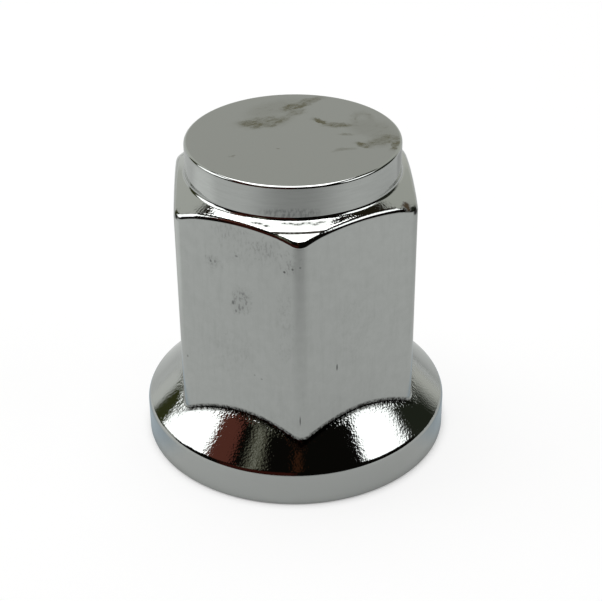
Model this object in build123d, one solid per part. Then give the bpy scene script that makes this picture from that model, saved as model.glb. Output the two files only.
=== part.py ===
from build123d import *
import math
import os

# Lug nut: a closed-end wheel nut with a flange, cold forged in one piece, tapped and chrome plated.
# Units are millimetres, +Z is up, and the origin is the centre of the flat seat.

# Hexagon that the wrench turns
across_flats = 19.0
hexagon_corner_radius = 1.3

# Whole height, from the seat to the top of the cap
height = 26.7

# Flange: an upright rim, then a cone that runs up to the hexagon
flange_overhang = 2.0
rim_height = 3.0
flange_cone_slope = 45.0
seat_chamfer = 0.35

# Cap: the flat round disc on the closed end
cap_inset = 0.85
cap_height = 2.6
cap_edge_radius = 0.25

# Shoulder: a gentle slope from the cap, then a steeper chamfer across the hexagon's corners
shoulder_slope = 22.0
chamfer_slope = 30.0
chamfer_start = 0.35
shoulder_edge_radius = 0.5

# Blind threaded hole for an M12 x 1.5 stud, open at the seat
thread_diameter = 12.0
tap_drill_diameter = 10.5
mouth_flare = 0.6
mouth_slope = 45.0
end_wall = 3.0
drill_point_angle = 118.0
thread_runout = 2.0

# Sizes that follow from the ones above
flat_radius = across_flats / 2
corner_radius = flat_radius / math.cos(math.radians(30))
rounded_off = hexagon_corner_radius * (1 / math.cos(math.radians(30)) - 1)
flange_radius = corner_radius - rounded_off + flange_overhang
cap_radius = flat_radius - cap_inset
cap_bottom = height - cap_height
chamfer_radius = flat_radius + chamfer_start
thread_radius = thread_diameter / 2
drill_radius = tap_drill_diameter / 2
mouth_radius = thread_radius + mouth_flare


def rise(run, slope):
    """Height gained over a level run at a slope in degrees."""
    return run * math.tan(math.radians(slope))


def turned(outline):
    """Solid of revolution about Z from corners given as (radius, height, rounding)."""
    section = Polygon(*[(radius, level) for radius, level, rounding in outline], align=None)
    for radius, level, rounding in outline:
        if rounding > 0:
            corner = section.vertices().sort_by_distance((radius, level, 0))[0]
            section = fillet(corner, rounding)
    return revolve(Plane.XZ * section, Axis.Z)


def hexagon_head():
    """Rounded hexagon under the turned shoulder, with the cap on top."""
    blank_radius = corner_radius + flange_overhang
    chamfer_top = cap_bottom - rise(chamfer_radius - cap_radius, shoulder_slope)
    chamfer_bottom = chamfer_top - rise(blank_radius - chamfer_radius, chamfer_slope)
    blank = turned([
        (0, 0, 0),
        (blank_radius, 0, 0),
        (blank_radius, chamfer_bottom, 0),
        (chamfer_radius, chamfer_top, 0),
        (cap_radius, cap_bottom, 0),
        (cap_radius, height, cap_edge_radius),
        (0, height, 0),
    ])
    hexagon = RegularPolygon(flat_radius, 6, major_radius=False, rotation=30)
    hexagon = fillet(hexagon.vertices(), hexagon_corner_radius)
    head = extrude(hexagon, height) & blank
    plain_curves = (GeomType.LINE, GeomType.CIRCLE)
    scalloped_edges = head.edges().filter_by(lambda edge: edge.geom_type not in plain_curves)
    return fillet(scalloped_edges, shoulder_edge_radius)


def flange():
    """Upright rim with a cone above it that ends inside the hexagon."""
    cone_top_radius = mouth_radius
    cone_top = rim_height + rise(flange_radius - cone_top_radius, flange_cone_slope)
    return turned([
        (0, 0, 0),
        (flange_radius - seat_chamfer, 0, 0),
        (flange_radius, seat_chamfer, 0),
        (flange_radius, rim_height, 0),
        (cone_top_radius, cone_top, 0),
        (0, cone_top, 0),
    ])


def threaded_hole():
    """Countersunk mouth, threaded length, tap drill runout and drill point."""
    point_tip = height - end_wall
    drill_bottom = point_tip - drill_radius / math.tan(math.radians(drill_point_angle / 2))
    thread_bottom = drill_bottom - thread_runout
    mouth_depth = rise(mouth_flare, mouth_slope)
    return turned([
        (0, 0, 0),
        (mouth_radius, 0, 0),
        (thread_radius, mouth_depth, 0),
        (thread_radius, thread_bottom, 0),
        (drill_radius, thread_bottom, 0),
        (drill_radius, drill_bottom, 0),
        (0, point_tip, 0),
    ])


def lug_nut():
    """The whole nut as one solid."""
    return hexagon_head() + flange() - threaded_hole()


os.makedirs("parts", exist_ok=True)
export_step(lug_nut(), "parts/lug_nut.step")
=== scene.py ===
import math
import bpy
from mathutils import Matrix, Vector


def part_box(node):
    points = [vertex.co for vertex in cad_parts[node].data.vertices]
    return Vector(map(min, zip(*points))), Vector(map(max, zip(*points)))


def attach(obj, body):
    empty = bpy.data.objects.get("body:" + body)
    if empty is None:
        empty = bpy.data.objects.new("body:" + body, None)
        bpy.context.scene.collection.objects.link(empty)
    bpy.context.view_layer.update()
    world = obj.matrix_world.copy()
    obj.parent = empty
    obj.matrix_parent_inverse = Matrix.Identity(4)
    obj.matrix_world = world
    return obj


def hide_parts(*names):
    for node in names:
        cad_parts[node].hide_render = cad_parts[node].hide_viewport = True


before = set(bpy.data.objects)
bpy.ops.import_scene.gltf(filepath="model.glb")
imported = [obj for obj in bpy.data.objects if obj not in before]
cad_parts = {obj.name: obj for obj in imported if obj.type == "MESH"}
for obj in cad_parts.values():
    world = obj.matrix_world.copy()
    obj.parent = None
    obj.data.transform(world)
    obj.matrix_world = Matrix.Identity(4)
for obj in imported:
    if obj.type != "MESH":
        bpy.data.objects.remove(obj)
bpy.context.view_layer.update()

from types import SimpleNamespace

import bmesh
import bpy
from bpy.props import FloatProperty, FloatVectorProperty, PointerProperty
from mathutils import Quaternion, Vector

bl_info = {
    "name": "Lug nut",
    "version": (1, 0, 0),
    "blender": (4, 5, 0),
    "location": "3D View > Sidebar > Lug nut",
    "description": "A closed-end wheel nut with a flange, chrome plated, on a pale studio floor",
    "category": "Add Mesh",
}

MM = 0.001
NUT_LOW, NUT_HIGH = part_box("lug_nut")
FLANGE_RADIUS = (NUT_HIGH[0] - NUT_LOW[0]) / 2
HEIGHT = NUT_HIGH[2]

# The hexagon from its axis: from one corner to the next, and from the middle of a flat to a corner
SIDE_ANGLE = math.radians(60)
HALF_SIDE = math.radians(30)

# The flange cone's slope, and how far in from the rim its rounding ends, as a share of its radius
CONE_SLOPE = math.radians(45)
RIM_EDGE_SHARE = 0.3

# Where a flat lies inside the crease, the crease keeps this share of the way from cap to edge
CREASE_SHARE = 0.96

# Fineness: steps of the spin along a flat and round a corner, of the tap's screw in one turn,
# and the turn that one step of a drawn rounding takes
FLAT_STEPS = 44
CORNER_STEPS = 20
SCREW_STEPS = 120
ROUNDING_STEP = math.radians(7)
FEWEST_STEPS = 4

# Tap: its core stays this far inside the drilled hole, a tooth's flanks lean 30 degrees, its crest
# is an eighth of the pitch wide, and it runs this many turns below the seat and past the end
TAP_INSET = 0.15 * MM
THREAD_FLANK = math.radians(30)
CREST_SHARE = 1 / 8
TURNS_BELOW = 2
TURNS_PAST = 1

# Edges that turn by more than this stay sharp
SHARP_ANGLE = math.radians(20)

# Distances in metres: a point is on a line, two points merge, and a corner or a level is found
HAIR = 1e-7
MERGE = 5e-7
NEAR = 1e-6

# Least cosine between a flat face's normal and the way that it should face
SAME_WAY = 0.99999


# Numbers and colours

def linear(hex_colour):
    """Linear red, green and blue of an sRGB hex colour."""
    parts = [int(hex_colour[place:place + 2], 16) / 255 for place in (1, 3, 5)]
    return tuple(part / 12.92 if part <= 0.04045 else ((part + 0.055) / 1.055) ** 2.4
                 for part in parts)


def size(name, description, millimetres):
    """A length that a user may change."""
    return FloatProperty(name=name, description=description, default=millimetres * MM,
                         unit="LENGTH", precision=5)


def angle(name, description, degrees):
    """An angle that a user may change."""
    return FloatProperty(name=name, description=description, default=math.radians(degrees),
                         unit="ROTATION")


def position(name, description, millimetres):
    """A place that a user may change."""
    return FloatVectorProperty(name=name, description=description, subtype="TRANSLATION",
                               unit="LENGTH", default=tuple(part * MM for part in millimetres))


def colour(name, description, hex_colour):
    """A colour that a user may change."""
    return FloatVectorProperty(name=name, description=description, default=linear(hex_colour),
                               subtype="COLOR", size=3, min=0, max=1)


class LugNutSizes(bpy.types.PropertyGroup):
    """Sizes of the nut."""
    across_flats: size("Across flats", "Width of the hexagon over two flats", 19.0)
    hexagon_corner_radius: size("Hexagon corner", "Rounding of the hexagon's upright corners", 1.3)
    height: size("Height", "From the seat to the top of the cap", HEIGHT / MM)
    flange_radius: size("Flange radius", "Outside radius of the flange rim", FLANGE_RADIUS / MM)
    rim_height: size("Rim height", "Height of the upright rim", 3.0)
    rim_edge_radius: size("Rim edge", "Rounding where the rim meets the flange cone", 0.8)
    root_radius: size("Root", "Rounding where the hexagon meets the flange cone", 0.4)
    seat_chamfer: size("Seat chamfer", "Break of the edge between seat and rim", 0.12)
    seat_edge_radius: size("Seat edge", "Rounding at both ends of the seat chamfer", 0.1)
    cap_radius: size("Cap radius", "Radius of the flat disc on the closed end", 8.65)
    cap_height: size("Cap height", "Height of the disc above the shoulder", 2.74)
    cap_edge_radius: size("Cap edge", "Rounding of the disc's top edge", 0.25)
    cap_foot_radius: size("Cap foot", "Rounding where the disc meets the shoulder", 0.4)
    crease_radius: size("Crease radius", "Radius at which the shoulder turns steeper", 9.85)
    crease_rounding: size("Crease rounding", "Rounding of the crease in the shoulder", 1.5)
    shoulder_edge_radius: size("Shoulder edge", "Rounding of the shoulder at mid-flat", 0.5)
    shoulder_corner_radius: size("Shoulder corner", "Rounding of the shoulder at a corner", 0.74)
    shoulder_slope: angle("Shoulder slope", "Slope from the cap to the crease", 22.0)
    chamfer_slope: angle("Chamfer slope", "Slope from the crease across the corners", 34.0)
    thread_radius: size("Thread radius", "Half the thread's outside diameter", 6.0)
    thread_pitch: size("Thread pitch", "Distance from one turn of the thread to the next", 1.5)
    drill_radius: size("Drill radius", "Half the diameter of the drilled hole", 5.25)
    mouth_radius: size("Mouth radius", "Radius of the countersunk mouth of the hole", 6.6)
    mouth_edge_radius: size("Mouth edge", "Rounding where the mouth meets the seat", 0.12)
    thread_depth: size("Thread depth", "Height at which the thread ends", 18.545)
    drill_depth: size("Drill depth", "Height at which the drill's point begins", 20.545)
    drill_tip: size("Drill tip", "Height of the drill's point", 23.7)


class LugNutLooks(bpy.types.PropertyGroup):
    """Colours of the nut and its finish."""
    chrome: colour("Chrome", "Mirror colour of the chrome plate", "#BBBDBB")
    hole_chrome: colour("Thin plate", "Mirror colour of the thin plate in the hole", "#8E8C87")
    residue: colour("Residue", "Dried residue on the cap", "#6C6952")
    # This dark colour paints dirt in marks, and painted shade in lines in the crease and in the
    # root
    grime_and_shade: colour("Grime", "Thin dark grime in marks, in the crease and in the root", "#1C1B17")
    rust: colour("Rust", "Rust at a corner of the shoulder", "#3F2F12")
    roughness: FloatProperty(name="Roughness", description="Haze of the chrome plate",
                             default=0.045, min=0, max=1)


class LugNutStudio(bpy.types.PropertyGroup):
    """Floor, room, lamp and camera."""
    floor: colour("Floor", "Plain pale studio floor", "#BCBFBD")
    near_shade: colour("Shade by the nut", "Tint that the chrome mirrors beside the rim", "#DCE8F3")
    walls: colour("Walls", "Plain grey walls of the room", "#BBBCB6")
    floor_radius: size("Floor radius", "Radius of the round floor", 1500.0)
    lamp_place: position("Lamp", "Where the lamp hangs", (-40.5, 60.0, 450.0))
    lamp_width: size("Lamp width", "Size of the lamp from left to right", 419.0)
    lamp_depth: size("Lamp depth", "Size of the lamp from front to back", 440.0)
    lamp_power: FloatProperty(name="Lamp power", description="Power of the lamp", default=1.9,
                              unit="POWER")
    lens: FloatProperty(name="Lens", description="Focal length of the camera", default=89.059,
                        unit="CAMERA")
    camera_place: position("Camera", "Where the camera stands", (-4.197, -107.069, 76.818))
    camera_aim: position("Aim", "The point that the camera looks at", (0.527, -0.022, 11.608))
    camera_roll: angle("Roll", "Turn of the camera about its own line of sight", -0.512)


# Tools of the workshop

def nothing_selected():
    """Object mode with nothing selected."""
    if bpy.context.object and bpy.context.object.mode != "OBJECT":
        bpy.ops.object.mode_set(mode="OBJECT")
    bpy.ops.object.select_all(action="DESELECT")


def only_selected(piece):
    """Object mode with this piece active and selected, and nothing else."""
    nothing_selected()
    bpy.context.view_layer.objects.active = piece
    piece.select_set(True)


def pick(piece, what, test):
    """In edit mode, selects the vertices or faces that pass the test and nothing else."""
    bpy.ops.mesh.select_mode(type={"verts": "VERT", "faces": "FACE"}[what])
    bpy.ops.mesh.select_all(action="DESELECT")
    shape = bmesh.from_edit_mesh(piece.data)
    found = [part for part in getattr(shape, what) if test(part)]
    if not found:
        raise RuntimeError(f"{piece.name}: none of its {what} is where it should be")
    for part in found:
        part.select_set(True)
    shape.select_flush_mode()
    bmesh.update_edit_mesh(piece.data)


def draw_outline(name, corners):
    """An outline in the XZ plane from (radius, height, rounding) corners; stays in edit mode."""
    nothing_selected()
    places = [Vector((radius, 0, level)) for radius, level, rounding in corners]
    roundings = [rounding for radius, level, rounding in corners]
    bpy.ops.mesh.primitive_plane_add(size=MM, location=places[0])
    piece = bpy.context.object
    piece.name = piece.data.name = name
    bpy.ops.object.transform_apply(location=True, rotation=False, scale=False)
    bpy.ops.object.mode_set(mode="EDIT")
    bpy.ops.mesh.select_mode(type="VERT")
    bpy.ops.mesh.select_all(action="SELECT")
    bpy.ops.mesh.merge(type="CENTER")
    for here, there in zip(places, places[1:]):
        bpy.ops.mesh.extrude_vertices_move(TRANSFORM_OT_translate={"value": there - here})
    for before, here, after, rounding in zip(places, places[1:], places[2:], roundings[1:]):
        if rounding:
            turn = (here - before).angle(after - here)
            pick(piece, "verts", lambda vertex: (vertex.co - here).length < NEAR)
            bpy.ops.mesh.bevel(affect="VERTICES", offset=rounding * math.tan(turn / 2),
                               segments=max(FEWEST_STEPS, round(turn / ROUNDING_STEP)), profile=0.5)
    bpy.ops.mesh.select_all(action="SELECT")
    return piece


def close_shell():
    """Merges doubles, turns the faces outwards and leaves edit mode."""
    bpy.ops.mesh.select_all(action="SELECT")
    bpy.ops.mesh.remove_doubles(threshold=MERGE)
    bpy.ops.mesh.normals_make_consistent(inside=False)
    bpy.ops.object.mode_set(mode="OBJECT")


def corner_centre(sizes):
    """Distance from the axis to the centre of a corner's rounding."""
    return (sizes.across_flats / 2 - sizes.hexagon_corner_radius) / math.cos(HALF_SIDE)


def half_corner(sizes):
    """Half the angle that a corner's rounding takes, seen from the axis."""
    rounding = sizes.hexagon_corner_radius
    return math.atan2(rounding * math.sin(HALF_SIDE),
                      corner_centre(sizes) + rounding * math.cos(HALF_SIDE))


def wall_radius(sizes, turn):
    """Distance from the axis to the hexagon's wall, at an angle from the middle of a flat."""
    from_flat = (turn + HALF_SIDE) % SIDE_ANGLE - HALF_SIDE
    from_corner = HALF_SIDE - abs(from_flat)
    if from_corner < half_corner(sizes):
        centre = corner_centre(sizes)
        aside = centre * math.sin(from_corner)
        return (centre * math.cos(from_corner)
                + math.sqrt(sizes.hexagon_corner_radius ** 2 - aside ** 2))
    return sizes.across_flats / 2 / math.cos(from_flat)


def cone_sum(sizes):
    """Height plus radius, which is the same all along the flange cone, as it slopes 45 degrees."""
    return sizes.rim_height + sizes.flange_radius


def shoulder_lines(sizes, radius):
    """Height at a radius and slope of the shoulder's gentle line and of its steep one."""
    cap_foot = sizes.height - sizes.cap_height
    gentle = cap_foot - (radius - sizes.cap_radius) * math.tan(sizes.shoulder_slope)
    crease = cap_foot - (sizes.crease_radius - sizes.cap_radius) * math.tan(sizes.shoulder_slope)
    steep = crease - (radius - sizes.crease_radius) * math.tan(sizes.chamfer_slope)
    return (gentle, sizes.shoulder_slope), (steep, sizes.chamfer_slope)


def shoulder_level(sizes, radius):
    """Height of the shoulder at a radius, which is the lower of its two lines."""
    return min(shoulder_lines(sizes, radius))[0]


def edge_rounding(sizes, wall):
    """Rounding of the shoulder's edge on a wall at this radius; it grows towards the corners."""
    flat = sizes.across_flats / 2
    share = (wall - flat) / (wall_radius(sizes, HALF_SIDE) - flat)
    return (sizes.shoulder_edge_radius
            + share * (sizes.shoulder_corner_radius - sizes.shoulder_edge_radius))


def shoulder_edge(sizes, wall):
    """Centre height and starting slope of the rounding between the shoulder and a wall."""
    rounding = edge_rounding(sizes, wall)
    return min((level - rounding / math.cos(slope), slope)
               for level, slope in shoulder_lines(sizes, wall - rounding))


def press_hexagon(piece, sizes):
    """Presses the turned blank to the hexagon, as the forging die does.

    The blank has the outline of a corner all round. Each of its points keeps its angle and goes to
    the same place on the outline for its own distance from the nearest corner, so that the flats
    are exactly flat, the shoulder keeps its two slopes and the rounded edges stay even. Cut and
    bevelled flats leave broken mirror images where the crease runs into the rounding.
    """
    corner_wall = wall_radius(sizes, HALF_SIDE)
    corner_rounding = sizes.shoulder_corner_radius
    corner_top, corner_slope = shoulder_edge(sizes, corner_wall)
    corner_start = corner_wall - corner_rounding + corner_rounding * math.sin(corner_slope)
    corner_root = cone_sum(sizes) - corner_wall
    reach = sizes.root_radius * math.tan(CONE_SLOPE / 2)
    root_end = corner_wall + reach * math.cos(CONE_SLOPE)
    held = sizes.cap_radius + sizes.cap_foot_radius
    rim_start = sizes.flange_radius - RIM_EDGE_SHARE * sizes.rim_edge_radius
    for vertex in piece.data.vertices:
        across, along, level = vertex.co
        radius = math.hypot(across, along)
        if level < sizes.rim_height or radius <= held or radius >= rim_start:
            continue
        wall = wall_radius(sizes, math.atan2(along, across))
        rounding = edge_rounding(sizes, wall)
        top, slope = shoulder_edge(sizes, wall)
        start = wall - rounding + rounding * math.sin(slope)
        crease = min(sizes.crease_radius, held + (start - held) * CREASE_SHARE)
        if level > corner_top + HAIR and radius > corner_start + HAIR:
            # On the rounding between shoulder and wall
            tilt = math.atan2(radius - corner_wall + corner_rounding, level - corner_top)
            share = (tilt - corner_slope) / (math.pi / 2 - corner_slope)
            tilt = slope + share * (math.pi / 2 - slope)
            new_radius = wall - rounding + rounding * math.sin(tilt)
            new_level = top + rounding * math.cos(tilt)
        elif level > corner_top + HAIR:
            # On the shoulder, outside or inside the crease, whose rounding lies a little lower
            drop = shoulder_level(sizes, radius) - level
            if radius > sizes.crease_radius:
                share = (radius - sizes.crease_radius) / (corner_start - sizes.crease_radius)
                new_radius = crease + share * (start - crease)
            else:
                share = (radius - held) / (sizes.crease_radius - held)
                new_radius = held + share * (crease - held)
            new_level = shoulder_level(sizes, new_radius)
            if crease == sizes.crease_radius:
                new_level -= drop
        elif level >= corner_root + reach - HAIR:
            # On the wall
            share = (level - corner_root - reach) / (corner_top - corner_root - reach)
            root = cone_sum(sizes) - wall
            new_radius = wall
            new_level = root + reach + share * (top - root - reach)
        elif radius <= root_end + HAIR:
            # In the rounding of the root
            new_radius = radius + wall - corner_wall
            new_level = level - wall + corner_wall
        else:
            # On the flange cone
            share = (rim_start - radius) / (rim_start - root_end)
            new_radius = rim_start - share * (rim_start - root_end - wall + corner_wall)
            new_level = cone_sum(sizes) - new_radius
        vertex.co = (across * new_radius / radius, along * new_radius / radius, new_level)


def turned_blank(sizes):
    """The blank with its drilled and countersunk hole, spun in fine steps at the corners."""
    corner_wall = wall_radius(sizes, HALF_SIDE)
    blank = draw_outline("plated_nut", [
        (0, sizes.height, 0),
        (sizes.cap_radius, sizes.height, sizes.cap_edge_radius),
        (sizes.cap_radius, sizes.height - sizes.cap_height, sizes.cap_foot_radius),
        (sizes.crease_radius, shoulder_level(sizes, sizes.crease_radius), sizes.crease_rounding),
        (corner_wall, shoulder_level(sizes, corner_wall), sizes.shoulder_corner_radius),
        (corner_wall, cone_sum(sizes) - corner_wall, sizes.root_radius),
        (sizes.flange_radius, sizes.rim_height, sizes.rim_edge_radius),
        (sizes.flange_radius, sizes.seat_chamfer, sizes.seat_edge_radius),
        (sizes.flange_radius - sizes.seat_chamfer, 0, sizes.seat_edge_radius),
        (sizes.mouth_radius, 0, sizes.mouth_edge_radius),
        (sizes.drill_radius, sizes.mouth_radius - sizes.drill_radius, 0),
        (sizes.drill_radius, sizes.drill_depth, 0),
        (0, sizes.drill_tip, 0),
    ])
    corner_turn = 2 * half_corner(sizes)
    flat_turn = SIDE_ANGLE - corner_turn
    corner = (corner_turn, CORNER_STEPS)
    flat = (flat_turn, FLAT_STEPS)
    half_flat = (flat_turn / 2, FLAT_STEPS // 2)
    for turn, steps in [half_flat] + [corner, flat] * 5 + [corner, half_flat]:
        bpy.ops.mesh.spin(steps=steps, angle=turn, center=(0, 0, 0), axis=(0, 0, 1))
    close_shell()
    return blank


def tap(sizes):
    """A right-hand tap: one turn of its tooth, screwed up the hole and cut level at both ends."""
    pitch = sizes.thread_pitch
    core = sizes.drill_radius - TAP_INSET
    start = -TURNS_BELOW * pitch
    middle = start + pitch / 2
    half_crest = pitch * CREST_SHARE / 2
    half_foot = half_crest + (sizes.thread_radius - core) * math.tan(THREAD_FLANK)
    tool = draw_outline("tap", [
        (core, start, 0),
        (core, middle - half_foot, 0),
        (sizes.thread_radius, middle - half_crest, 0),
        (sizes.thread_radius, middle + half_crest, 0),
        (core, middle + half_foot, 0),
        (core, start + pitch, 0),
    ])
    bpy.ops.object.mode_set(mode="OBJECT")
    screw = tool.modifiers.new("turns", "SCREW")
    screw.axis = "Z"
    screw.screw_offset = pitch
    screw.iterations = math.ceil(sizes.thread_depth / pitch) + TURNS_BELOW + TURNS_PAST
    screw.steps = screw.render_steps = SCREW_STEPS
    screw.use_merge_vertices = True
    screw.merge_threshold = NEAR
    bpy.ops.object.modifier_apply(modifier="turns")
    bpy.ops.object.mode_set(mode="EDIT")
    for level, cut_above in ((-MM, False), (sizes.thread_depth, True)):
        bpy.ops.mesh.select_all(action="SELECT")
        bpy.ops.mesh.bisect(plane_co=(0, 0, level), plane_no=(0, 0, 1), use_fill=True,
                            clear_outer=cut_above, clear_inner=not cut_above, threshold=HAIR)
    close_shell()
    return tool


def cut_thread(piece, tool):
    """Takes the tap's shape out of the nut."""
    only_selected(piece)
    cut = piece.modifiers.new("thread", "BOOLEAN")
    cut.operation = "DIFFERENCE"
    cut.solver = "EXACT"
    cut.object = tool
    bpy.ops.object.modifier_apply(modifier="thread")
    bpy.data.meshes.remove(tool.data)


def join_flat_faces(piece, sizes):
    """Makes the cap's top and each flat of the hexagon one face, so that each mirrors evenly."""
    only_selected(piece)
    bpy.ops.object.mode_set(mode="EDIT")
    pick(piece, "faces", lambda face: face.normal.z > SAME_WAY
         and face.calc_center_median().z > sizes.height - NEAR)
    bpy.ops.mesh.dissolve_faces()
    for number in range(6):
        outwards = Vector((math.cos(SIDE_ANGLE * number), math.sin(SIDE_ANGLE * number), 0))
        pick(piece, "faces", lambda face: face.normal.dot(outwards) > SAME_WAY
             and face.calc_center_median().z > sizes.rim_height * 2)
        bpy.ops.mesh.dissolve_faces()
    bpy.ops.object.mode_set(mode="OBJECT")


def plate(piece, sizes, looks):
    """Gives the outside its bright plate and the hole its thin one."""
    piece.data.materials.clear()
    piece.data.materials.append(bright_chrome_plate(looks, sizes))
    piece.data.materials.append(thin_plate_in_hole(looks))
    skin = 0.01 * MM
    for face in piece.data.polygons:
        radius = math.hypot(face.center.x, face.center.y)
        inside = radius < sizes.mouth_radius and skin < face.center.z < sizes.drill_tip + skin
        face.material_index = 1 if inside else 0


def smooth(piece):
    """Smooth shading that leaves the flat faces flat in a mirror."""
    only_selected(piece)
    bpy.ops.object.shade_smooth_by_angle(angle=SHARP_ANGLE)
    weights = piece.modifiers.new("flat_faces", "WEIGHTED_NORMAL")
    weights.mode = "FACE_AREA"
    weights.weight = 100
    weights.keep_sharp = True
    bpy.ops.object.modifier_apply(modifier="flat_faces")


# Materials

# Kinds of node and settings that come up often
MATH = "ShaderNodeMath"
VECTOR_MATH = "ShaderNodeVectorMath"
MAP_RANGE = "ShaderNodeMapRange"
MIX = "ShaderNodeMix"
SMOOTH = {"interpolation_type": "SMOOTHSTEP"}
TEXTURE = {"vector_type": "TEXTURE"}
COLOURS = {"data_type": "RGBA"}
ADD = {"operation": "ADD"}
SUBTRACT = {"operation": "SUBTRACT"}
MULTIPLY = {"operation": "MULTIPLY"}
MULTIPLY_ADD = {"operation": "MULTIPLY_ADD"}
SCALE = {"operation": "SCALE"}
MAXIMUM = {"operation": "MAXIMUM"}
LENGTH = {"operation": "LENGTH"}
DOT = {"operation": "DOT_PRODUCT"}
WHITE = (1, 1, 1, 1)


def add(tree, kind, settings=None, **inputs):
    """Adds a node; each input, by name or as n and its number, is a value or a socket."""
    made = tree.nodes.new(kind)
    for name, value in (settings or {}).items():
        setattr(made, name, value)
    for name, value in inputs.items():
        numbered = name[0] == "n" and name[1:].isdigit()
        socket = made.inputs[int(name[1:]) if numbered else name.replace("_", " ")]
        if isinstance(value, bpy.types.NodeSocket):
            tree.links.new(value, socket)
        else:
            socket.default_value = value
    return made


def new_material(name):
    """A material with nothing but its output."""
    material = bpy.data.materials.new(name)
    material.use_nodes = True
    tree = material.node_tree
    tree.nodes.clear()
    return material, tree, tree.nodes.new("ShaderNodeOutputMaterial")


def between(tree, value, low, high, soft, inside=1.0):
    """A mask that has its inside value from low to high and is 0 elsewhere, with soft edges."""
    rising = add(tree, MAP_RANGE, SMOOTH, n0=value, n1=low - soft, n2=low + soft, n3=0.0, n4=inside)
    falling = add(tree, MAP_RANGE, SMOOTH,
                  n0=value, n1=high - soft, n2=high + soft, n3=rising.outputs[0], n4=0.0)
    return falling.outputs[0]


# Shares of a spot's reach at which it begins to fade and is gone
SPOT_FADE = 0.45
SPOT_END = 1.15


def spot(tree, place, centre, reach, turn=0.0, inside=1.0, outside=0.0):
    """A mask that goes from its inside value to its outside one across the edge of an ellipsoid."""
    local = add(tree, "ShaderNodeMapping", TEXTURE, Vector=place, Location=centre,
                Rotation=(0, 0, math.radians(turn)), Scale=reach)
    away = add(tree, VECTOR_MATH, LENGTH, n0=local.outputs[0]).outputs["Value"]
    fade = add(tree, MAP_RANGE, SMOOTH, n0=away, n1=SPOT_FADE, n2=SPOT_END, n3=inside, n4=outside)
    return fade.outputs[0]


# Noise patterns of the plate: size of a grain or mark in millimetres, detail, roughness and output
PATTERNS = {
    "waves": ((2.0, 2.0, 2.0), 1.0, 0.5, "Fac"),
    "peel": ((0.18, 0.18, 0.18), 1.0, 0.5, "Fac"),
    "grain": ((0.22, 0.22, 0.22), 3.0, 0.7, "Fac"),
    "draw_marks": ((0.35, 0.35, 3.0), 4.0, 0.65, "Fac"),
    "turning_marks": ((2.0, 2.0, 0.17), 3.0, 0.6, "Fac"),
    "dash": ((0.2, 0.2, 0.4), 3.0, 0.6, "Fac"),
    "mottle": ((0.9, 0.9, 0.9), 4.0, 0.65, "Fac"),
    "tear": ((0.8, 0.8, 0.8), 4.0, 0.65, "Color"),
}

# Upward part of the normal: lowest and highest on a wall, the flange cone and the shoulder
WALL = (-0.3, 0.3)
CONE = (0.45, 0.85)
SHOULDER = (0.6, 0.97)

# Depth in millimetres of each pattern's relief, all over the plate or on one part of it
DEPTH = SimpleNamespace(
    waves=0.002, waves_below_cap=0.008,
    peel=0.0008, peel_on_cone=0.0075, peel_near_root=0.03, peel_on_shoulder=0.006,
    draw_marks=0.002, turning_marks=0.002,
)

# What residue and rust add to the plate's roughness, and how much of the metal rust takes away
RESIDUE_HAZE = 0.3
RUST_HAZE = 0.5
RUST_COVER = 0.9

# Heights in millimetres that hold the whole flange cone and the whole of the flats
CONE_TOP = 7.2
FLATS = (4.8, 23.4)

# Dried residue on the cap: centre, half length and half width in mm, turn in degrees, strength
RESIDUE = [
    (5.79, 2.83, 1.15, 2.1, 0, 0.6), (5.79, 2.83, 0.6, 1.2, 0, 0.1),
    (-1.2, 5.7, 3.2, 1.6, 30, 0.42), (6.4, 1.3, 2.4, 1.9, -40, 0.46),
    (7.2, -0.8, 1.9, 1.3, 40, 0.50), (-2.3, 3.0, 2.6, 1.4, 10, 0.52),
    (-3.2, 2.6, 1.4, 0.9, -17, 0.74), (-1.9, 3.6, 1.7, 0.6, 2, 0.62),
    (-1.3, 2.95, 1.5, 0.6, 34, 0.68), (0.36, 4.6, 1.5, 0.65, 38, 0.62),
    (0.7, 6.2, 2.2, 0.75, 38, 0.74), (1.9, 7.2, 1.5, 0.6, 30, 0.62),
    (2.3, 2.9, 1.0, 0.45, -50, 0.84), (3.6, 2.1, 1.6, 0.65, -12, 0.70),
    (4.26, 0.27, 0.8, 0.3, -4, 0.60), (5.35, -1.76, 1.0, 0.45, -31, 0.76),
    (7.0, -1.1, 1.8, 0.8, 26, 0.68), (8.0, -1.9, 1.4, 0.45, 68, 0.74),
    (3.85, -2.5, 1.2, 0.32, 12, 0.60), (-1.23, -1.88, 0.25, 0.18, 0, 0.62),
    (-4.84, -3.03, 0.35, 0.14, 0, 0.52),
]

# Flecks that tear the residue: length and width in mm, turn in degrees, how strongly they tear,
# the sums of stain and tearing at which a crust starts and is full, and how much each layer hides
FLECK_SIZE = (0.9, 0.4, 1)
FLECK_TURN = 22
FLECK_TEARING = 1.3
CRUST_START = 1.1
CRUST_FULL = 1.65
CRUST_COVER = 0.8
STAIN_COVER = 0.42

# Rust at a corner of the shoulder: centre, half length and half width in mm, turn in degrees, and
# how far down it reaches
RUST = (8.55, -5.62, 0.46, 0.34, 30)
RUST_LOW = 22.9

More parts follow.
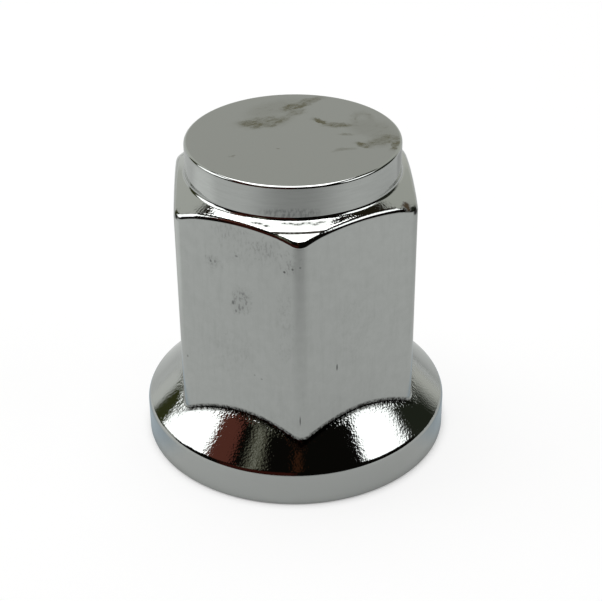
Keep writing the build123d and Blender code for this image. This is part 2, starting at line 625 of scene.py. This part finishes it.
# Dents and ticks in the plate: place, reach in millimetres and strength
MARKS = [
    ((-6.72, -7.08, 19.75), (0.09, 0.09, 0.12), 0.6),
    ((-6.4, -7.27, 19.8), (0.08, 0.08, 0.16), 0.5),
    ((-4.74, -8.24, 20.75), (0.15, 0.15, 0.1), 0.45),
    ((-1.16, -10.3, 20.4), (0.12, 0.12, 0.12), 0.7),
    ((-0.56, -10.65, 20.8), (0.11, 0.11, 0.11), 0.6),
    ((0.02, -10.98, 21.0), (0.14, 0.3, 0.12), 0.7),
    ((-0.1, -10.92, 6.9), (0.06, 0.3, 0.6), 0.9),
    ((2.93, -9.28, 10.95), (0.07, 0.2, 0.36), 0.75),
    ((-5.12, -8.02, 16.5), (0.13, 0.13, 0.22), 0.55),
    ((-4.91, -8.14, 15.8), (0.1, 0.1, 0.16), 0.45),
    ((-4.11, -8.6, 16.7), (0.09, 0.09, 0.16), 0.4),
    ((-3.06, -9.2, 10.0), (0.12, 0.12, 0.1), 0.3),
    ((-3.6, -8.89, 10.2), (0.1, 0.1, 0.1), 0.25),
    ((-8.98, -5.79, 10.2), (0.1, 0.1, 0.14), 0.4),
    ((-9.2, -5.3, 22.75), (0.22, 0.3, 0.2), 0.95),
    ((9.25, -5.45, 22.65), (0.3, 0.42, 0.3), 1.0),
]

# Flecks of grime on the shoulder in front of the cap: half width and half height of them all, and
# the place and half length of each, in millimetres
FLECK_SECTION = (0.12, 0.3)
FLECKS = [
    ((-0.81, -8.94, 23.83), 0.55), ((-0.1, -9.08, 23.79), 0.45), ((0.55, -8.98, 23.81), 0.6),
    ((1.2, -9.1, 23.76), 0.4), ((1.72, -8.86, 23.82), 0.5), ((-2.4, -9.0, 23.71), 0.3),
    ((-3.13, -8.62, 23.76), 0.6), ((2.9, -8.6, 23.76), 0.6),
]

# Smudges on the flats, broken into short upright dashes: place, reach in millimetres and strength
SMUDGES = [
    ((-1.1, -10.35, 15.5), (0.9, 0.8, 4.5), 0.11), ((-5.4, -7.9, 12.0), (3.0, 2.5, 2.5), 0.08),
    ((4.5, -8.4, 14.0), (2.5, 2.5, 5.0), 0.05), ((-4.0, -8.7, 21.6), (3.8, 2.4, 1.8), 0.12),
    ((-5.2, -8.0, 22.8), (1.8, 1.3, 0.8), 0.26), ((-2.6, -9.5, 22.0), (2.0, 1.3, 1.0), 0.28),
    ((-6.6, -7.15, 19.7), (0.9, 0.9, 0.8), 0.35), ((-0.9, -10.4, 21.2), (0.9, 0.8, 1.2), 0.28),
    ((-4.5, -8.38, 16.9), (1.2, 0.9, 1.4), 0.44), ((-3.9, -8.72, 16.2), (0.35, 0.35, 0.4), 0.45),
]

# Where noise breaks up dark dirt and painted shade: the noise levels at which a mark starts and is
# full, and the mask's value at each; a smudge keeps a share of its strength between its dashes
DASHES = {"n1": 0.5, "n2": 0.66}
DASH_GAP = 0.15
FLAKED = {"n1": 0.4, "n2": 0.55, "n3": 0.25, "n4": 0.95}
BROKEN = {"n1": 0.3, "n2": 0.6, "n3": 0.45, "n4": 1.0}
CREASE_SHADE_LEVELS = {"n1": 0.3, "n2": 0.5, "n3": 0.84, "n4": 1.0}
SCUFFED = {"n1": 0.42, "n2": 0.62, "n4": 0.4}

# Part of the crease darkened with painted shade, and scuffs low on the cap's side: place and reach
# in mm
SHADED_CREASE = ((0.1, -9.7, 23.5), (4.2, 2.4, 2.0))
CAP_SCUFFS = ((-0.7, -8.65, 24.45), (2.9, 1.0, 0.5))

# Painted shade lies in the root on the side that faces front: from and to in Y, and its lowest
# point in Z
ROOT_FRONT = (-14.0, -5.6)
ROOT_LOW = 4.4


def places_on_nut(tree, sizes):
    """Sockets that say, in millimetres, where on the nut a point is and which way it faces."""
    place = add(tree, "ShaderNodeTexCoord").outputs["Object"]
    in_mm = add(tree, VECTOR_MATH, SCALE, n0=place, Scale=1 / MM).outputs[0]
    across, along, level = add(tree, "ShaderNodeSeparateXYZ", n0=in_mm).outputs
    plan = add(tree, "ShaderNodeCombineXYZ", X=across, Y=along, Z=0.0).outputs[0]
    radius = add(tree, VECTOR_MATH, LENGTH, n0=plan).outputs["Value"]
    normal = add(tree, "ShaderNodeNewGeometry").outputs["Normal"]
    facing = add(tree, "ShaderNodeSeparateXYZ", n0=normal).outputs["Z"]

    # How far a point lies outside the nearest flat
    reach = 0.0
    for number in range(3):
        outwards = (math.cos(SIDE_ANGLE * number), math.sin(SIDE_ANGLE * number), 0)
        dot = add(tree, VECTOR_MATH, DOT, n0=plan, n1=outwards)
        length = add(tree, MATH, {"operation": "ABSOLUTE"}, n0=dot.outputs["Value"])
        reach = add(tree, MATH, MAXIMUM, n0=reach, n1=length.outputs[0]).outputs[0]
    past_flat = add(tree, MATH, SUBTRACT, n0=reach, n1=sizes.across_flats / 2 / MM)
    return SimpleNamespace(in_mm=in_mm, plan=plan, along=along, level=level, radius=radius,
                           facing=facing, past_flat=past_flat.outputs[0])


def noise_patterns(tree, in_mm):
    """The outputs of the plate's noise patterns, by name."""
    outputs = {}
    for name, (grain, detail, roughness, output) in PATTERNS.items():
        in_grains = add(tree, VECTOR_MATH, {"operation": "DIVIDE"}, n0=in_mm, n1=grain)
        noise = add(tree, "ShaderNodeTexNoise", Vector=in_grains.outputs[0], Scale=1.0,
                    Detail=detail, Roughness=roughness)
        outputs[name] = noise.outputs[output]
    return SimpleNamespace(**outputs)


def plate_relief(tree, at, noise, on_flats, on_cap_side, sizes):
    """Height of the plate's surface, from each pattern and its depth in millimetres."""
    cap_foot = (sizes.height - sizes.cap_height) / MM
    cone_low = sizes.rim_height / MM - 0.1
    on_cone = between(tree, at.level, cone_low, CONE_TOP, 0.1,
                      between(tree, at.facing, *CONE, 0.06, DEPTH.peel_on_cone))
    near_flat = between(tree, at.past_flat, -1.0, 0.45, 0.35, DEPTH.peel_near_root)
    near_root = between(tree, at.level, cone_low, CONE_TOP, 0.1,
                        between(tree, at.facing, 0.06, CONE[1], 0.05, near_flat))
    on_shoulder = between(tree, at.level, 22.6, cap_foot + 0.08, 0.05,
                          between(tree, at.facing, *SHOULDER, 0.02, DEPTH.peel_on_shoulder))
    below_cap = between(tree, at.level, -1.0, cap_foot, 0.5, DEPTH.waves_below_cap)
    draw_depth = between(tree, on_flats, 0.5, 2.0, 0.5, DEPTH.draw_marks)
    turning_depth = between(tree, on_cap_side, 0.5, 2.0, 0.5, DEPTH.turning_marks)
    height = 0.0
    for pattern, depth in (
            (noise.waves, DEPTH.waves), (noise.waves, below_cap),
            (noise.peel, DEPTH.peel), (noise.peel, on_cone), (noise.peel, near_root),
            (noise.peel, on_shoulder),
            (noise.draw_marks, draw_depth), (noise.turning_marks, turning_depth)):
        height = add(tree, MATH, MULTIPLY_ADD, n0=pattern, n1=depth, n2=height).outputs[0]
    return height


def dried_residue(tree, at, torn, sizes):
    """Mask of the residue on the cap: blots that noise tears into flecks and streaks."""
    stain = 0.0
    for across, along, half_length, half_width, turn, strength in RESIDUE:
        stain = spot(tree, torn, (across, along, 0), (half_length, half_width, 1), turn,
                     strength, stain)
    streaked = add(tree, "ShaderNodeMapping", TEXTURE, Vector=torn,
                   Rotation=(0, 0, math.radians(FLECK_TURN)), Scale=FLECK_SIZE)
    fleck = add(tree, "ShaderNodeTexNoise", Vector=streaked.outputs[0], Scale=1.0, Detail=5.0,
                Roughness=0.7).outputs["Fac"]
    ragged = add(tree, MATH, MULTIPLY_ADD, n0=fleck, n1=FLECK_TEARING, n2=stain).outputs[0]
    crust = add(tree, MAP_RANGE, SMOOTH,
                n0=ragged, n1=CRUST_START, n2=CRUST_FULL, n3=0.0, n4=CRUST_COVER).outputs[0]
    crust = add(tree, MATH, MULTIPLY_ADD, n0=stain, n1=STAIN_COVER, n2=crust).outputs[0]
    top = sizes.height / MM
    return between(tree, at.level, top - 0.01, top + 1, 0.008, crust)


def dirt_and_painted_shade(tree, at, noise, torn_deep, on_flats, on_cap_side, sizes):
    """Mask of dark dirt in smudges, marks, flecks and film, and of painted shade in lines in the
    crease and the root.
    """
    dark = 0.0
    for centre, reach, strength in SMUDGES:
        dashes = add(tree, MAP_RANGE, n0=noise.dash, **DASHES,
                     n3=strength * DASH_GAP, n4=strength).outputs[0]
        dark = spot(tree, torn_deep, centre, reach, inside=dashes, outside=dark)
    for centre, reach, strength in MARKS:
        dark = spot(tree, at.in_mm, centre, reach, inside=strength, outside=dark)
    flaked = add(tree, MAP_RANGE, n0=noise.grain, **FLAKED).outputs[0]
    for centre, half_length in FLECKS:
        turn = math.degrees(math.atan2(centre[0], -centre[1]))
        dark = spot(tree, at.in_mm, centre, (half_length, *FLECK_SECTION), turn, flaked, dark)

    # Film in draw marks, in patches on the flats and in turning marks: start, full, strength
    for pattern, start, full, strength, where in (
            (noise.draw_marks, 0.5, 0.8, 0.06, on_flats),
            (noise.mottle, 0.35, 0.7, 0.06, on_flats),
            (noise.turning_marks, 0.4, 0.75, 0.08, on_cap_side)):
        film = add(tree, MAP_RANGE, n0=pattern, n1=start, n2=full, n3=0.0, n4=strength).outputs[0]
        dark = add(tree, MATH, MULTIPLY_ADD, n0=film, n1=where, n2=dark).outputs[0]
    scuffed = add(tree, MAP_RANGE, n0=noise.dash, n3=dark, **SCUFFED).outputs[0]
    dark = spot(tree, at.in_mm, *CAP_SCUFFS, inside=scuffed, outside=dark)

    # Lines of painted shade, on the side that faces front: in the crease, in the root, and its
    # ragged fringe above the cone
    crease_radius = sizes.crease_radius / MM
    crease_shade = add(tree, MAP_RANGE, n0=noise.grain, **CREASE_SHADE_LEVELS).outputs[0]
    crease_shade = spot(tree, at.in_mm, *SHADED_CREASE, inside=crease_shade)
    crease = between(tree, at.radius, crease_radius - 0.1, crease_radius + 0.1, 0.03,
                     between(tree, at.facing, 0.7, 1.1, 0.05, crease_shade))
    broken = add(tree, MAP_RANGE, n0=noise.grain, **BROKEN).outputs[0]
    broken = between(tree, at.along, *ROOT_FRONT, 0.4,
                     between(tree, at.level, ROOT_LOW, CONE_TOP, 0.1, broken))
    root = between(tree, at.past_flat, -0.04, 0.24, 0.08,
                   between(tree, at.facing, 0.03, CONE[1], 0.03, broken))
    above_cone = add(tree, MATH, ADD, n0=at.level, n1=at.radius).outputs[0]
    cone = cone_sum(sizes) / MM
    ragged = between(tree, at.along, *ROOT_FRONT, 0.4,
                     between(tree, at.level, ROOT_LOW, CONE_TOP + 0.8, 0.1, flaked))
    fringe = between(tree, above_cone, cone - 0.1, cone + 0.25, 0.14,
                     between(tree, at.facing, -0.2, 0.62, 0.08, ragged))
    for line in (crease, root, fringe):
        dark = add(tree, MATH, MAXIMUM, n0=dark, n1=line).outputs[0]
    return dark


def bright_chrome_plate(looks, sizes):
    """Bright decorative chrome over nickel on cold-forged steel.

    The plate is a clear mirror that follows the forged surface below it: soft waves all over,
    orange peel that is coarse on the flange cone and roughest in the root below the flats, upright
    draw marks on the flats and level turning marks round the cap. Dried residue dulls the cap in
    places and rust starts at one corner.
    """
    material, tree, output = new_material("bright_chrome_plate")
    at = places_on_nut(tree, sizes)
    noise = noise_patterns(tree, at.in_mm)
    cap_foot = (sizes.height - sizes.cap_height) / MM
    on_wall = between(tree, at.facing, *WALL, 0.1)
    on_flats = between(tree, at.level, *FLATS, 0.1, on_wall)
    on_cap_side = between(tree, at.level, cap_foot - 0.1, sizes.height / MM, 0.05, on_wall)

    # Places swung by noise, up to 0.6 mm in plan for blots and 1 mm all round for smudges
    swing = add(tree, VECTOR_MATH, SUBTRACT, n0=noise.tear, n1=(0.5, 0.5, 0.5)).outputs[0]
    torn = add(tree, VECTOR_MATH, MULTIPLY_ADD,
               n0=swing, n1=(1.2, 1.2, 0.0), n2=at.plan).outputs[0]
    torn_deep = add(tree, VECTOR_MATH, MULTIPLY_ADD,
                    n0=swing, n1=(2.0, 2.0, 2.0), n2=at.in_mm).outputs[0]

    height = plate_relief(tree, at, noise, on_flats, on_cap_side, sizes)
    bump = add(tree, "ShaderNodeBump", Strength=1.0, Distance=MM, Height=height)
    residue = dried_residue(tree, at, torn, sizes)
    # Dark dirt, and painted shade in the crease and the root
    dark = dirt_and_painted_shade(tree, at, noise, torn_deep, on_flats, on_cap_side, sizes)
    across, along, half_length, half_width, turn = RUST
    rust = spot(tree, torn, (across, along, 0), (half_length, half_width, 1), turn)
    rust = between(tree, at.level, RUST_LOW, cap_foot, 0.1, rust)

    plated = (*looks.chrome, 1)
    # Layers over the chrome: dark dirt with painted shade in the crease and the root, then residue,
    # then rust
    for mask, layer in ((dark, looks.grime_and_shade), (residue, looks.residue), (rust, looks.rust)):
        plated = add(tree, MIX, COLOURS, n0=mask, n6=plated, n7=(*layer, 1)).outputs[2]
    haze = add(tree, MATH, MULTIPLY_ADD,
               n0=residue, n1=RESIDUE_HAZE, n2=looks.roughness)
    haze = add(tree, MATH, MULTIPLY_ADD, n0=rust, n1=RUST_HAZE, n2=haze.outputs[0])
    metal = add(tree, MATH, MULTIPLY_ADD, n0=rust, n1=-RUST_COVER, n2=1.0)
    shader = add(tree, "ShaderNodeBsdfPrincipled", Base_Color=plated, Metallic=metal.outputs[0],
                 Roughness=haze.outputs[0], Normal=bump.outputs[0])
    tree.links.new(shader.outputs[0], output.inputs[0])
    return material


def thin_plate_in_hole(looks):
    """Tapped hole, where the bath leaves only a thin dull plate, with three grains to a mm."""
    material, tree, output = new_material("thin_plate_in_hole")
    place = add(tree, "ShaderNodeTexCoord").outputs["Object"]
    in_mm = add(tree, VECTOR_MATH, SCALE, n0=place, Scale=1 / MM).outputs[0]
    grain = add(tree, "ShaderNodeTexNoise", Vector=in_mm, Scale=3.0, Detail=4.0).outputs["Fac"]
    rough = add(tree, MAP_RANGE, n0=grain, n1=0.3, n2=0.7, n3=0.22, n4=0.42)
    bump = add(tree, "ShaderNodeBump", Strength=0.5, Distance=0.01 * MM, Height=grain)
    shader = add(tree, "ShaderNodeBsdfPrincipled", Base_Color=(*looks.hole_chrome, 1), Metallic=1.0,
                 Roughness=rough.outputs[0], Normal=bump.outputs[0])
    tree.links.new(shader.outputs[0], output.inputs[0])
    return material


# Painted shade on the mirrored floor: its brightness in front of the nut, by the distance from a
# place
# 110 mm in front (counted longer to the sides), and behind it, by the distance from the nut: from
# and to in mm, and the brightness at each. The one goes over into the other along a line to the
# back
FRONT_STRETCH = (1.5, 1, 1)
FRONT_OFFSET = (0, 110, 0)
IN_FRONT = {"n1": 40, "n2": 112, "n3": 0.6, "n4": 1.0}
BEHIND = {"n1": 48, "n2": 72, "n3": 0.77, "n4": 0.97}
TO_BACK = (0.35, 0.94, 0)
CHANGE = {"n1": -6, "n2": 44}

# Spots of painted light and painted shade on the mirrored floor: centre, half length and half width
# in mm, brightness
FLOOR_SPOTS = [(-50, 12, 26, 22, 1.22), (36, 44, 15, 12, 0.62)]

# Tinted shade on the floor beside the rim: centre, half length and half width in mm, strength
BESIDE_RIM = [(-14.8, 1.5, 4.6, 10, 1.0), (14.8, 1.5, 4.6, 10, 0.95)]

# Share of plain white in the floor, to the eye and in a mirror or through glass
SEEN_WHITE = 0.8
MIRRORED_WHITE = 0.3

# Radii in millimetres between which the white begins, round the shade under the nut
UNDER_NUT = (12, 13.6)


def studio_floor(studio):
    """Plain pale floor: white to the eye, with the nut's shadow, and greyer in a mirror.

    The grey that the nut mirrors has painted shade in front, behind on the right and beside the
    rim, and painted light at the left.
    """
    material, tree, output = new_material("studio_floor")
    rays = add(tree, "ShaderNodeLightPath").outputs
    camera = rays["Is Camera Ray"]
    place = add(tree, "ShaderNodeTexCoord").outputs["Object"]
    in_mm = add(tree, VECTOR_MATH, SCALE, n0=place, Scale=1 / MM).outputs[0]

    # Painted shade and light on the floor, which the camera doesn't see and the chrome mirrors
    from_front = add(tree, VECTOR_MATH, MULTIPLY_ADD,
                     n0=in_mm, n1=FRONT_STRETCH, n2=FRONT_OFFSET).outputs[0]
    from_front = add(tree, VECTOR_MATH, LENGTH, n0=from_front).outputs["Value"]
    in_front = add(tree, MAP_RANGE, SMOOTH, n0=from_front, **IN_FRONT).outputs[0]
    from_middle = add(tree, VECTOR_MATH, LENGTH, n0=in_mm).outputs["Value"]
    behind = add(tree, MAP_RANGE, SMOOTH, n0=from_middle, **BEHIND).outputs[0]
    to_back = add(tree, VECTOR_MATH, DOT, n0=in_mm, n1=TO_BACK).outputs["Value"]
    shade = add(tree, MAP_RANGE, SMOOTH, n0=to_back, n3=in_front, n4=behind, **CHANGE).outputs[0]
    for across, along, half_length, half_width, brightness in FLOOR_SPOTS:
        shade = spot(tree, in_mm, (across, along, 0), (half_length, half_width, 1),
                     inside=brightness, outside=shade)
    beside = 0.0
    for across, along, half_length, half_width, strength in BESIDE_RIM:
        beside = spot(tree, in_mm, (across, along, 0), (half_length, half_width, 1),
                      inside=strength, outside=beside)
    tint = add(tree, MIX, COLOURS, n0=beside, n6=WHITE, n7=(*studio.near_shade, 1))
    tint = add(tree, VECTOR_MATH, SCALE, n0=tint.outputs[2], Scale=shade).outputs[0]
    tint = add(tree, MIX, COLOURS, n0=camera, n6=tint, n7=WHITE).outputs[2]
    paint = add(tree, MIX, COLOURS, n0=camera, n6=(*studio.floor, 1), n7=WHITE)
    paint = add(tree, VECTOR_MATH, MULTIPLY, n0=paint.outputs[2], n1=tint).outputs[0]
    lit = add(tree, "ShaderNodeBsdfDiffuse", Color=paint)
    white = add(tree, "ShaderNodeEmission", Color=tint, Strength=1.0)

    # Share of plain white: most to the eye, some in a mirror or through glass, none under the nut
    mirrored = add(tree, MATH, ADD,
                   n0=rays["Is Glossy Ray"], n1=rays["Is Transmission Ray"]).outputs[0]
    plain = add(tree, MATH, MULTIPLY, n0=mirrored, n1=MIRRORED_WHITE).outputs[0]
    plain = add(tree, MATH, MULTIPLY_ADD, n0=camera, n1=SEEN_WHITE, n2=plain).outputs[0]
    plain = add(tree, MAP_RANGE, SMOOTH,
                n0=from_middle, n1=UNDER_NUT[0], n2=UNDER_NUT[1], n3=0.0, n4=plain).outputs[0]
    mix = add(tree, "ShaderNodeMixShader", n0=plain, n1=lit.outputs[0], n2=white.outputs[0])
    tree.links.new(mix.outputs[0], output.inputs[0])
    return material


# The room that the chrome mirrors: name, strength, colour, azimuths from the camera's side (right
# is plus), elevations and the width of the soft edge, in degrees; a later patch covers a former one
ROOM = [
    ("pale wall at the left, low down", 1.0, "#DBDDD9", -181, -124, -40, 14, 8),
    ("pale wall at the right, low down", 1.0, "#D0D1CA", 122, 181, -40, 14, 8),
    ("wall at the left", 1.0, "#CDCFC8", -168, -124, 14, 46, 8),
    ("wall at the right", 1.0, "#C4C6BE", 122, 168, 14, 46, 8),
    ("dark ceiling round the light", 1.0, "#262319", -181, 181, 45, 91, 5),
    ("dark side behind the camera", 1.0, "#0E0D0A", -98, 98, -40, 91, 8),
    ("dark corner at the left", 1.0, "#3A3E22", -130, -112, -40, 30, 5),
    ("soft edge of the dark corner at the right", 1.0, "#292D24", 100, 124.5, -40, 30, 18),
    ("dark corner at the right", 1.0, "#292D24", 92, 119, -40, 34, 5),
    ("warm dark edge low in front", 1.0, "#3A1812", -66, -4, 2, 30, 8),
    ("red panel left of the camera", 1.0, "#66392F", -84, -59, 35, 50, 4),
    ("grey panel left of the camera", 1.0, "#5E5E50", -48, -33, 30, 62, 6),
    ("brown strip over the camera", 1.0, "#3E2416", -5, 1, 40, 60, 3),
    ("lit edge of the grey panel", 1.0, "#8E8F82", -42, -39, 34, 60, 2),
    ("left window", 2.6, "#F4F6F6", -117, -80, 14, 46, 4),
    ("dark sill of the left window", 1.0, "#0E0D0A", -90, -58, 0, 24, 4),
    ("right window", 2.6, "#F4F6F6", 57, 97, 30, 50, 5),
]


def studio_world(studio):
    """A plain room: grey walls, two windows, and dark above and behind the camera."""
    world = bpy.data.worlds.new("studio_room")
    bpy.context.scene.world = world
    world.use_nodes = True
    tree = world.node_tree
    tree.nodes.clear()
    place = add(tree, "ShaderNodeTexCoord").outputs["Generated"]
    parts = add(tree, "ShaderNodeSeparateXYZ", n0=place).outputs
    up = add(tree, MATH, {"operation": "ARCSINE"}, n0=parts["Z"]).outputs[0]
    elevation = add(tree, MATH, {"operation": "DEGREES"}, n0=up).outputs[0]
    front = add(tree, MATH, MULTIPLY, n0=parts["Y"], n1=-1.0).outputs[0]
    turn = add(tree, MATH, {"operation": "ARCTAN2"}, n0=parts["X"], n1=front).outputs[0]
    azimuth = add(tree, MATH, {"operation": "DEGREES"}, n0=turn).outputs[0]
    paint = (*studio.walls, 1)
    for name, strength, hex_colour, left, right, low, high, soft in ROOM:
        mask = between(tree, azimuth, left, right, soft / 2,
                       between(tree, elevation, low, high, soft / 2))
        light = tuple(part * strength for part in linear(hex_colour))
        paint = add(tree, MIX, {**COLOURS, "label": name},
                    n0=mask, n6=paint, n7=(*light, 1)).outputs[2]
    room = add(tree, "ShaderNodeBackground", Color=paint, Strength=1.0).outputs[0]
    white = add(tree, "ShaderNodeBackground", Color=WHITE, Strength=1.0).outputs[0]
    camera = add(tree, "ShaderNodeLightPath").outputs["Is Camera Ray"]
    mix = add(tree, "ShaderNodeMixShader", n0=camera, n1=room, n2=white)
    output = add(tree, "ShaderNodeOutputWorld")
    tree.links.new(mix.outputs[0], output.inputs[0])


# Operators

class LUGNUT_OT_nut(bpy.types.Operator):
    """Make the plated nut: turned, pressed to the hexagon, tapped, plated and smoothed"""
    bl_idname = "lugnut.nut"
    bl_label = "Plated nut"

    def execute(self, context):
        sizes = context.scene.lug_nut_sizes
        nut = turned_blank(sizes)
        press_hexagon(nut, sizes)
        join_flat_faces(nut, sizes)
        cut_thread(nut, tap(sizes))
        plate(nut, sizes, context.scene.lug_nut_looks)
        smooth(nut)
        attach(nut, "root")
        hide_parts("lug_nut")
        return {"FINISHED"}


class LUGNUT_OT_stage(bpy.types.Operator):
    """Make the floor, the room, its lamp and the camera"""
    bl_idname = "lugnut.stage"
    bl_label = "Stage"

    def execute(self, context):
        studio = context.scene.lug_nut_studio
        nothing_selected()
        bpy.ops.mesh.primitive_circle_add(vertices=96, radius=studio.floor_radius, fill_type="NGON")
        floor = context.object
        floor.name = floor.data.name = "floor"
        floor.data.materials.append(studio_floor(studio))
        studio_world(studio)
        bpy.ops.object.light_add(type="AREA", location=studio.lamp_place)
        lamp = context.object
        lamp.name = lamp.data.name = "ceiling_light"
        lamp.data.shape = "RECTANGLE"
        lamp.data.size = studio.lamp_width
        lamp.data.size_y = studio.lamp_depth
        lamp.data.energy = studio.lamp_power
        bpy.ops.object.camera_add(location=studio.camera_place)
        camera = context.object
        camera.name = camera.data.name = "camera"
        camera.data.lens = studio.lens
        camera.data.sensor_width = 36
        camera.data.sensor_fit = "HORIZONTAL"
        camera.data.clip_start = 5 * MM
        camera.data.dof.use_dof = False
        sight = Vector(studio.camera_aim) - Vector(studio.camera_place)
        turn = sight.to_track_quat("-Z", "Y") @ Quaternion((0, 0, 1), studio.camera_roll)
        camera.rotation_euler = turn.to_euler()
        context.scene.camera = camera
        context.scene.view_settings.view_transform = "Standard"
        return {"FINISHED"}


class LUGNUT_PT_panel(bpy.types.Panel):
    """Sidebar panel with the sizes, the looks, the studio and a button for each operator"""
    bl_label = "Lug nut"
    bl_idname = "LUGNUT_PT_panel"
    bl_space_type = "VIEW_3D"
    bl_region_type = "UI"
    bl_category = "Lug nut"

    def draw(self, context):
        for name in GROUPS:
            group = getattr(context.scene, name)
            box = self.layout.box()
            for field in group.__annotations__:
                box.prop(group, field)
        for operator in OPERATORS:
            self.layout.operator(operator.bl_idname)


GROUPS = {
    "lug_nut_sizes": LugNutSizes, "lug_nut_looks": LugNutLooks, "lug_nut_studio": LugNutStudio,
}
OPERATORS = (LUGNUT_OT_nut, LUGNUT_OT_stage)


def register():
    """Makes the groups, the operators and the panel known to Blender."""
    for cls in (*GROUPS.values(), *OPERATORS, LUGNUT_PT_panel):
        bpy.utils.register_class(cls)
    for name, group in GROUPS.items():
        setattr(bpy.types.Scene, name, PointerProperty(type=group))


def unregister():
    """Takes them back."""
    for name in GROUPS:
        delattr(bpy.types.Scene, name)
    for cls in (LUGNUT_PT_panel, *reversed(OPERATORS), *reversed(list(GROUPS.values()))):
        bpy.utils.unregister_class(cls)


def main():
    """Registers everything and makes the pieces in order."""
    register()
    bpy.ops.lugnut.nut()
    bpy.ops.lugnut.stage()


if __name__ == "__main__":
    main()
